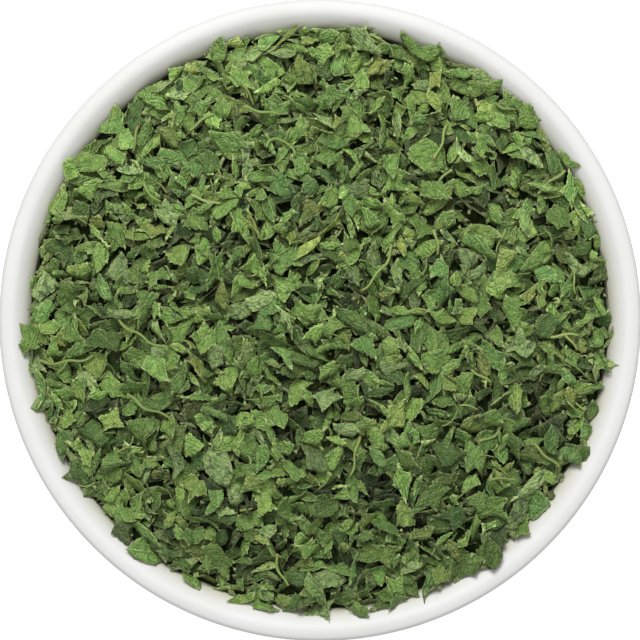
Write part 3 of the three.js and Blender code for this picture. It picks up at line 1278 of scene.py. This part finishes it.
@dataclass
class Heap:
    """The loose flakes of leaf, each dropped on those under it. Sizes are in millimetres.

    No flake reaches past farthest. skirt is the breadth of the outer band, whose flakes lie along the
    wall, and shown_from where deep flakes begin to show, so that their painted shade gives way near the
    wall.
    paling is painted light: how lightness changes along X and Y, lighter toward +Y, where the key lamp is,
    and a little darker toward +X.
    """

    bowl: Bowl
    form: HeapForm = HeapForm()
    seed: int = 11
    reach: float = 71.0
    cell: float = 0.4
    field_radius: float = 65.0
    steepest: float = 0.75
    most_faces: int = 170_000
    tucked: float = 0.07
    wall_gap: float = 0.1
    climb: float = 1.8
    skirt: float = 4.5
    farthest: float = 65.9
    standing: float = 3.4
    painted_light_trend: tuple[float, float] = (-0.0004, 0.0028)
    shown_from: tuple[float, float] = (55.0, 61.0)
    shown_share: float = 0.85
    lightness: tuple[float, float] = (1.02, 0.22)
    lightness_limits: tuple[float, float] = (0.5, 1.7)
    hue: tuple[float, float] = (0.47, 0.21)
    along_wall: tuple[float, float] = (0.5 * math.pi, 0.45)
    slope_fits: int = 2
    lean_spread: tuple[float, float] = (2.0, 0.5)
    lean_shares: tuple[float, float] = (0.8, 1.2)
    lean_cost: float = 0.4
    nudges: int = 4
    nudge: float = 0.05
    rib_distance: float = 2.4
    leaf_turn: float = 0.5
    pattern_reach: float = 400.0
    underside_shift: float = 3.0
    ground_sides: int = 160
    ground_rings: int = 60
    ground_edge_drop: float = 1.0
    ground_wall_drop: float = 3.0
    ground_sink: float = 0.2
    ground_roughness: float = 0.22
    ground_wall_gap: float = 0.7
    ground_rise: float = 0.5
    ground_floor_gap: float = 0.6

    def __post_init__(self) -> None:
        """Start the random numbers, the cutter and the heap's top."""
        self.rng = np.random.default_rng(self.seed)
        self.cutter = FlakeCutter(self.rng)
        self.curl = Curl(self.rng)
        self.top = HeapTop(self.reach, self.cell, self.form, self.bowl)

    def pick_kind(self, kinds: tuple[FlakeKind, ...]) -> FlakeKind:
        """Pick a kind of flake at random."""
        shares = np.array([kind.share for kind in kinds])
        return kinds[int(self.rng.choice(len(kinds), p=shares / shares.sum()))]

    def tone(self, light: float, place: np.ndarray) -> np.ndarray:
        """Pick a flake's lightness, hue and wear. Its lightness carries painted shade and painted light, on
        top of a random tone.

        Args:
            light: How light flakes of its layer are on average, which is painted shade for the lower
                layers.
            place: Where it lies. Near the wall even the deep ones show, and there their painted shade gives
                way, so they are as light as the rest. paling also paints light by place: lighter toward +Y,
                where the key lamp is, and a little darker toward +X.

        Returns:
            The three numbers.
        """
        rng = self.rng
        # Painted shade and light: the layer's painted shade gives way near the wall, and paling makes
        # flakes lighter toward +Y, the key lamp's side.
        shown = float(np.interp(np.hypot(*place[:2]), self.shown_from, (0.0, self.shown_share)))
        light = max(light, light + shown * (1.0 - light)) + float(place[:2] @ self.painted_light_trend)
        own = light * float(np.clip(rng.normal(*self.lightness), *self.lightness_limits))
        hue = float(np.clip(rng.normal(*self.hue), 0, 1))
        return np.array([own, hue, rng.random()])

    def lean_at(self, spots: np.ndarray, place: np.ndarray, tilt: float) -> tuple[np.ndarray, float]:
        """Turn a flake and lay it on the slope under it, with a lean of its own.

        Args:
            spots: Places on its middle surface, in its own frame.
            place: Where it comes down.
            tilt: How far it leans from the slope, at random.

        Returns:
            Its rotation, and how far it leans from the slope.
        """
        rng = self.rng
        yaw = rng.uniform(0, 2 * math.pi)
        if np.hypot(*place) > self.field_radius - self.skirt:
            yaw = math.atan2(place[1], place[0]) + rng.normal(*self.along_wall)
        rise = (0.0, 0.0)
        for _ in range(self.slope_fits):
            laid = spots @ turned(yaw, rise).T
            rise = self.top.slope(laid[:, 0] + place[0], laid[:, 1] + place[1], self.steepest)
        lean = rng.normal(0, tilt * rng.gamma(*self.lean_spread), 2) * self.lean_shares
        return turned(yaw, (rise[0] + lean[0], rise[1] + lean[1])), float(np.hypot(*lean))

    def settle(self, laid: np.ndarray, place: np.ndarray, climb: float) -> np.ndarray | None:
        """Let a flake down, and push it away from the wall until it fits.

        Args:
            laid: Places on its middle surface, turned as it lies.
            place: Where it comes down.
            climb: How far up the wall its edge may ride.

        Returns:
            Where it comes to rest and how high, or None if it doesn't fit.
        """
        for _ in range(self.nudges):
            moved = laid + [place[0], place[1], 0.0]
            lift = self.top.rest(moved, self.tucked)
            radius = np.hypot(moved[:, 0], moved[:, 1])
            limit = self.bowl.limit_at(moved[:, 2] + lift + climb)
            excess = radius - np.minimum(limit, self.farthest)
            worst = int(excess.argmax())
            if excess[worst] <= 0:
                on_wall = float((self.bowl.floor_at(radius) - moved[:, 2]).max()) + self.wall_gap
                return np.array([place[0], place[1], max(lift, on_wall)])
            place = place - moved[worst, :2] / radius[worst] * (excess[worst] + self.nudge)
        return None

    def fall(self, spots: np.ndarray, layer: Layer) -> tuple[np.ndarray, np.ndarray] | None:
        """Let a flake fall, and keep the best of several ways for it to lie.

        Args:
            spots: Places on its middle surface, in its own frame.
            layer: The part of the heap that it belongs to.

        Returns:
            Its rotation and place, or None if it has no room.
        """
        best, best_height = None, math.inf
        for _ in range(layer.tries):
            place = self.top.lowest_place(self.rng, self.field_radius, layer.places)
            matrix, lean = self.lean_at(spots, place, layer.tilt)
            laid = spots @ matrix.T
            resting = self.settle(laid, place, self.rng.uniform(0, self.climb))
            if resting is None:
                continue
            target = float(self.top.target[self.top.cells(resting[0], resting[1])])
            if (laid[:, 2] + resting[2]).max() > target + self.standing:
                continue
            height = resting[2] - target + self.lean_cost * lean
            if height < best_height:
                best, best_height = (matrix, resting), height
        return best

    def drop(self, parts: MeshParts, layer: Layer) -> None:
        """Cut, curl and drop one flake, and add it to a mesh.

        Args:
            parts: The mesh.
            layer: The part of the heap that it belongs to.
        """
        kind = self.pick_kind(layer.kinds)
        flake = self.cutter.cut(kind, layer.coarse)
        middle = self.curl.apply(flake, kind)
        spots = np.einsum("sk,fkd->fsd", TRIANGLE_SPOTS, middle[flake.faces]).reshape(-1, 3)
        laid = self.fall(spots, layer)
        if laid is None:
            return
        matrix, place = laid
        points, faces, at_rim = plate(middle, flake, self.curl.thickness)
        half = np.array([0, 0, 0.5 * self.curl.thickness])
        self.top.cover(spots @ matrix.T + place + half)
        count = len(middle)
        across = self.rng.uniform(-self.rib_distance, self.rib_distance)
        turn = self.rng.uniform(-self.leaf_turn, self.leaf_turn)
        spin = np.array([[math.cos(turn), math.sin(turn)], [-math.sin(turn), math.cos(turn)]])
        own = flake.points @ spin + [0, across]
        leaf = np.concatenate([own, np.full((count, 1), self.rng.uniform(0, self.pattern_reach))], 1)
        rim = (np.arange(count) < flake.rim_count).astype(float)
        tone = np.tile(self.tone(layer.light, place), (2 * count, 1))
        parts.add(
            points @ matrix.T + place + half,
            faces,
            at_rim,
            leaf=np.concatenate([leaf, leaf + [0, 0, self.underside_shift]]),
            tone=tone,
            rim=np.concatenate([rim, rim]),
        )

    def build_layer(self, layer: Layer, material: bpy.types.Material) -> None:
        """Drop all the flakes of one part of the heap.

        Args:
            layer: The part of the heap.
            material: The leaf's material.
        """
        parts, number = MeshParts(), 1
        for _ in range(layer.count):
            self.drop(parts, layer)
            if parts.face_count > self.most_faces:
                self.finish_piece(parts, f"{layer.name}_{number}", material)
                parts, number = MeshParts(), number + 1
        if parts.face_count:
            self.finish_piece(parts, f"{layer.name}_{number}", material)
        gap = (self.top.height - self.top.target)[self.top.target > self.form.edge_height]
        log.info("%s: top is %.2f mm over its form, spread %.2f", layer.name, gap.mean(), gap.std())

    def finish_piece(self, parts: MeshParts, name: str, material: bpy.types.Material) -> None:
        """Make one piece of the heap."""
        add_piece(parts, name, material, ["leaf_heap"])

    def build_ground(self, material: bpy.types.Material) -> None:
        """Make the deep leaf under the flakes, down to the bowl's floor.

        Args:
            material: The dark leaf's material.
        """
        sides, rings = self.ground_sides, self.ground_rings
        edge_height = self.form.edge_height - self.form.ground_depth
        edge = float(self.bowl.limit_at(edge_height - self.ground_edge_drop))
        radius = edge * (1 - np.arange(rings) / rings)
        angle = turn_angles(sides)
        top_r = np.repeat(radius, sides)
        top_a = np.tile(angle, rings)
        rng = np.random.default_rng(self.seed + 1)
        ground = self.form.ground(top_r * np.cos(top_a), top_r * np.sin(top_a))
        crown = ground - self.ground_sink + rng.normal(0, self.ground_roughness, top_r.size)
        wall = self.bowl.inner_wall()
        inside = wall[wall[:, 1] < edge_height - self.ground_wall_drop]
        side_r = np.repeat(inside[:, 0] - self.ground_wall_gap, sides)
        side_z = np.repeat(inside[:, 1] + self.ground_rise, sides)
        r = np.concatenate([side_r, top_r])
        z = np.concatenate([side_z, crown])
        a = np.concatenate([np.tile(angle, len(inside)), top_a])
        points = np.stack([r * np.cos(a), r * np.sin(a), z], 1)
        bottom = self.bowl.floor_height + self.ground_floor_gap
        middle = float(self.form.ground(0.0, 0.0)) - self.ground_sink
        parts = MeshParts()
        points = np.concatenate([points, [[0, 0, bottom], [0, 0, middle]]])
        parts.add(points, ring_faces(len(inside) + rings, sides))
        add_piece(parts, "deep_leaf", material, ["leaf_heap"])


@dataclass(frozen=True)
class Fork:
    """A branch: the share of the stem where it starts, its heading in degrees and its length."""

    at: float
    heading: float
    length: float


@dataclass(frozen=True)
class Stem:
    """One bit of stem: where it starts, in millimetres, and its heading and turn in degrees."""

    x: float
    y: float
    heading: float
    length: float
    turn: float = 0.0
    fork: Fork | None = None


STEMS = (
    Stem(-20.2, 50.1, 24, 8.4, -110),
    Stem(-16.4, 45.9, -6, 8, -12),
    Stem(-11.5, 37.2, 70, 9, -170),
    Stem(-27.8, 27, -12, 6.6, -8),
    Stem(-38.1, 29.4, -50, 5.5, 8),
    Stem(-39.4, 42, -110, 5.7, 6),
    Stem(-28.3, 41, 28, 6.4, 10),
    Stem(15.4, 16.1, -108, 12.2, -35),
    Stem(27.4, 42.1, -112, 8.3, 3),
    Stem(28.5, 32.4, -134, 6.3, 4),
    Stem(38.3, 47.1, -38, 5.6, 40),
    Stem(53.2, 32.5, -137, 8, -6),
    Stem(24.4, 19.3, -86, 5.4, 5),
    Stem(49.2, -3.6, 2, 7, 0, Fork(0.55, -58, 4.4)),
    Stem(32.7, -10.8, -38, 5, 0),
    Stem(34.4, -26.3, 15, 6.2, 40),
    Stem(36.4, -34.8, 2, 6.1, 6),
    Stem(8.6, -25, -95, 8.9, -14),
    Stem(46.4, -26.8, -35, 7.8, -15),
    Stem(-45.8, 2.3, -48, 16, 30),
    Stem(-61, -8.8, -8, 12.4, 28, Fork(0.5, -135, 3.4)),
    Stem(-36.4, -12.3, 8, 6.1, 22),
    Stem(-41.6, -16.1, -38, 10.3, 20),
    Stem(-9.3, -51, -85, 7.6, 30),
)


@dataclass
class Stems:
    """The bits of stem among the flakes. Sizes are in millimetres."""

    heap: Heap
    seed: int = 29
    radius: float = 0.34
    sides: int = 10
    step: float = 0.35
    ribs: float = 0.07
    sag: float = 0.3
    wander: float = 16.0
    wave: float = 7.0
    least_steps: int = 6
    steepest: float = 0.5
    sunk: float = 0.25
    taper: float = 0.22
    knots: tuple[float, float] = (0.06, 9.0)
    knot_start: float = 6.0
    flare: float = 0.16
    flare_points: float = 1.6
    flatness: float = 0.85
    jag: float = 0.12
    end_length: float = 1.2
    end_limit: float = 0.95
    pattern_reach: float = 100.0
    branch_share: float = 0.8
    lightness: tuple[float, float] = (0.8, 1.15)
    bit_count: int = 46
    bit_margin: float = 4.0
    bit_places: int = 2
    bit_lengths: tuple[float, float] = (2.2, 5.5)
    bit_turn: float = 30.0
    bit_shares: tuple[float, float] = (0.35, 0.75)

    def __post_init__(self) -> None:
        """Start the random numbers."""
        self.rng = np.random.default_rng(self.seed)

    def line(self, stem: Stem) -> np.ndarray:
        """Draw a stem's middle, which wanders a little.

        Args:
            stem: The stem.

        Returns:
            Its points from above, each with how far it sags.
        """
        steps = max(self.least_steps, round(stem.length / self.step))
        share = np.linspace(0, 1, steps + 1)
        phase = share[:-1] * stem.length / self.wave + self.rng.random()
        wander = self.wander * np.sin(2 * math.pi * phase)
        way = np.radians(stem.heading + stem.turn * (share[:-1] + 0.5 / steps) + wander)
        stride = stem.length / steps
        x = stem.x + np.concatenate([[0], np.cumsum(np.cos(way))]) * stride
        y = stem.y + np.concatenate([[0], np.cumsum(np.sin(way))]) * stride
        return np.stack([x, y, -self.sag * (2 * share - 1) ** 2], 1)

    def lay(self, line: np.ndarray) -> np.ndarray:
        """Lay a stem's middle on the heap, along the slope under it.

        Args:
            line: Its points, as from above.

        Returns:
            The points where they rest.
        """
        top = self.heap.top
        rise = top.slope(line[:, 0], line[:, 1], self.steepest)
        slope = (line[:, 0] - line[0, 0]) * rise[0] + (line[:, 1] - line[0, 1]) * rise[1]
        laid = line + np.stack([0 * slope, 0 * slope, slope], 1)
        raised = top.rest(laid) + self.radius
        return laid + [0, 0, raised - self.sunk]

    def tube(self, parts: MeshParts, line: np.ndarray, tone: np.ndarray, thin: float = 1.0) -> None:
        """Add a ribbed, closed tube along a line.

        Args:
            parts: The mesh to add it to.
            line: Its middle.
            tone: Its lightness, hue and how it broke.
            thin: Its thickness against the usual.
        """
        rng = self.rng
        count = len(line)
        way = unit(np.gradient(line, axis=0))
        side = unit(np.cross(way, [0, 0, 1.0]))
        up = np.cross(side, way)
        share = np.linspace(0, 1, count)
        swelling, turns = self.knots
        knots = swelling * np.sin(turns * share + rng.uniform(0, self.knot_start))
        taper = 1 - self.taper * share + knots
        flare = 1 + self.flare * np.exp(-share * count / self.flare_points)
        radius = self.radius * thin * taper * flare
        turn = turn_angles(self.sides)
        ribbed = 1 + self.ribs * np.where(np.arange(self.sides) % 2, 1, -1)
        ring = radius[:, None] * ribbed
        across = ring[..., None] * np.cos(turn)[None, :, None] * side[:, None, :]
        upward = ring[..., None] * np.sin(turn)[None, :, None] * up[:, None, :] * self.flatness
        points = (line[:, None, :] + across + upward).reshape(-1, 3)
        jag = rng.normal(0, self.jag, (2, self.sides))
        points[: self.sides] += jag[0][:, None] * way[0]
        points[-self.sides :] += jag[1][:, None] * way[-1]
        faces = ring_faces(count, self.sides, turned_over=True)
        caps = np.arange(len(faces)) >= len(faces) - 2 * self.sides
        length = np.linalg.norm(np.diff(line, axis=0), axis=1).sum()
        along = np.concatenate([np.repeat(share * length, self.sides), [0, length]])
        around = np.concatenate([np.tile(np.sin(turn), count), [0, 0]])
        seed = np.full(len(along), rng.uniform(0, self.pattern_reach))
        nearness = np.clip(1 - np.minimum(along, length - along) / self.end_length, 0, 1)
        nearness[:-2] = np.minimum(nearness[:-2], self.end_limit)
        parts.add(
            np.concatenate([points, line[[0, -1]]]),
            faces,
            caps,
            stem=np.stack([along, around, seed], 1),
            tone=np.tile(tone, (len(along), 1)),
            rim=nearness,
        )
        self.cover(line, self.radius * thin)

    def cover(self, line: np.ndarray, radius: float) -> None:
        """Raise the heap's top to a stem that lies on it.

        Args:
            line: The stem's middle.
            radius: Its radius.
        """
        way = unit(np.gradient(line[:, :2], axis=0))
        side = np.stack([-way[:, 1], way[:, 0], 0 * way[:, 0]], 1)
        for share in (-0.8, 0.0, 0.8):
            height = radius * math.sqrt(1 - share * share)
            self.heap.top.cover(line + share * radius * side + [0, 0, height])

    def tone(self) -> np.ndarray:
        """Pick a stem's lightness, hue and how it broke."""
        return np.array([self.rng.uniform(*self.lightness), self.rng.random(), self.rng.random()])

    def build(self, material: bpy.types.Material) -> None:
        """Make the stems that the CAD model has, each where its node is.

        Args:
            material: The stem's material.
        """
        for number, stem in enumerate(STEMS, 1):
            parts, tone = MeshParts(), self.tone()
            laid = self.lay(self.line(stem))
            self.tube(parts, laid, tone)
            if stem.fork:
                root = laid[round(stem.fork.at * (len(laid) - 1))]
                branch = self.line(Stem(root[0], root[1], stem.fork.heading, stem.fork.length))
                branch[:, 2] = root[2] - self.sag * np.linspace(0, 1, len(branch)) ** 2
                self.tube(parts, branch, tone, self.branch_share)
            node = f"stem_{number:02d}"
            add_piece(parts, f"{node}_ribbed", material, [node])

    def build_bits(self, material: bpy.types.Material) -> None:
        """Scatter finer, shorter bits of stalk over the heap.

        Args:
            material: The stem's material.
        """
        parts, rng = MeshParts(), self.rng
        reach = self.heap.field_radius - self.bit_margin
        for _ in range(self.bit_count):
            x, y = self.heap.top.lowest_place(rng, reach, self.bit_places)
            heading = rng.uniform(0, 360)
            bit = Stem(x, y, heading, rng.uniform(*self.bit_lengths), rng.normal(0, self.bit_turn))
            self.tube(parts, self.lay(self.line(bit)), self.tone(), rng.uniform(*self.bit_shares))
        add_piece(parts, "stalk_bits", material)


@dataclass(frozen=True)
class Softbox:
    """A square lamp that looks at the bowl. Angles are in degrees and lengths in metres."""

    name: str
    azimuth: float
    elevation: float
    distance: float
    side: float
    power: float

    def build(self, target: Vector) -> None:
        """Hang the lamp.

        Args:
            target: The point that it looks at.
        """
        lamp = bpy.data.lights.new(self.name, "AREA")
        lamp.shape = "SQUARE"
        lamp.size = self.side
        lamp.energy = self.power
        turn, lift = math.radians(self.azimuth), math.radians(self.elevation)
        way = Vector((math.sin(turn) * math.cos(lift), math.cos(turn) * math.cos(lift), math.sin(lift)))
        hung = bpy.data.objects.new(self.name, lamp)
        hung.location = target + way * self.distance
        hung.rotation_euler = way.to_track_quat("Z", "Y").to_euler()
        bpy.context.scene.collection.objects.link(hung)


@dataclass
class Studio:
    """The floor, the light and the camera. Lengths are in metres."""

    floor_side: float = 6.0
    lens: float = 100.0
    sensor: float = 36.0
    near: float = 0.01
    frame_share: float = 69.89 / 70.0
    floor_cells: int = 12
    aim_height: float = 0.05
    ambient: float = 0.14
    key: Softbox = Softbox("key_softbox", -8.0, 54.0, 1.5, 0.6, 20.3)
    fill: Softbox = Softbox("fill_softbox", -20.0, 82.0, 0.9, 0.7, 2.3)
    card: Softbox = Softbox("reflector_card", 172.0, 42.0, 1.0, 0.8, 1.8)

    def build_floor(self, finish: PaleFloor) -> None:
        """Lay the floor, as a flat grid.

        Args:
            finish: The floor's finish.
        """
        cells = self.floor_cells
        mesh = bpy.data.meshes.new("floor")
        line = [self.floor_side * (i / cells - 0.5) for i in range(cells + 1)]
        points = [(x, y, 0.0) for y in line for x in line]
        row = cells + 1
        corners = [(j * row + i) for j in range(cells) for i in range(cells)]
        mesh.from_pydata(points, [], [(c, c + 1, c + row + 1, c + row) for c in corners])
        mesh.materials.append(finish.material())
        floor = bpy.data.objects.new("floor", mesh)
        bpy.context.scene.collection.objects.link(floor)

    def build_light(self) -> None:
        """Set the even light of the room and hang the lamps, which look at the heap."""
        world = bpy.data.worlds.new("studio")
        world.use_nodes = True
        background = world.node_tree.nodes["Background"]
        background.inputs["Color"].default_value = (1.0, 1.0, 1.0, 1.0)
        background.inputs["Strength"].default_value = self.ambient
        bpy.context.scene.world = world
        bpy.context.scene.view_settings.view_transform = "Standard"
        for lamp in (self.key, self.fill, self.card):
            lamp.build(Vector((0.0, 0.0, self.aim_height)))

    def build_camera(self, bowl: Bowl) -> None:
        """Hang the camera over the bowl, so low that the rim just fills the picture from side to side.

        Args:
            bowl: The bowl, for its rim.
        """
        camera = bpy.data.cameras.new("camera")
        camera.lens = self.lens
        camera.sensor_width = self.sensor
        camera.clip_start = self.near
        half = bowl.rim_radius * MM * self.frame_share
        rise = half * 2 * self.lens / self.sensor
        hung = bpy.data.objects.new("camera", camera)
        hung.location = (0.0, 0.0, bowl.lip_centre[1] * MM + rise)
        bpy.context.scene.collection.objects.link(hung)
        bpy.context.scene.camera = hung


def main() -> None:
    """Build the bowl, the heap and the stems, then the studio round them."""
    logging.basicConfig(level=logging.INFO, format="%(message)s")
    bowl = Bowl()
    studio = Studio()
    studio.build_camera(bowl)
    bowl.build(Porcelain().material())
    leaf, stem = DriedLeaf().material(), DriedStem().material()
    heap = Heap(bowl)
    stems = Stems(heap)
    heap.build_ground(DeepLeaf().material())
    for layer in (DEEP, MIDDLE, CRUMBS, TOP):
        heap.build_layer(layer, leaf)
    stems.build_bits(stem)
    stems.build(stem)
    heap.build_layer(LAST, leaf)
    studio.build_floor(PaleFloor())
    studio.build_light()


if __name__ == "__main__":
    main()
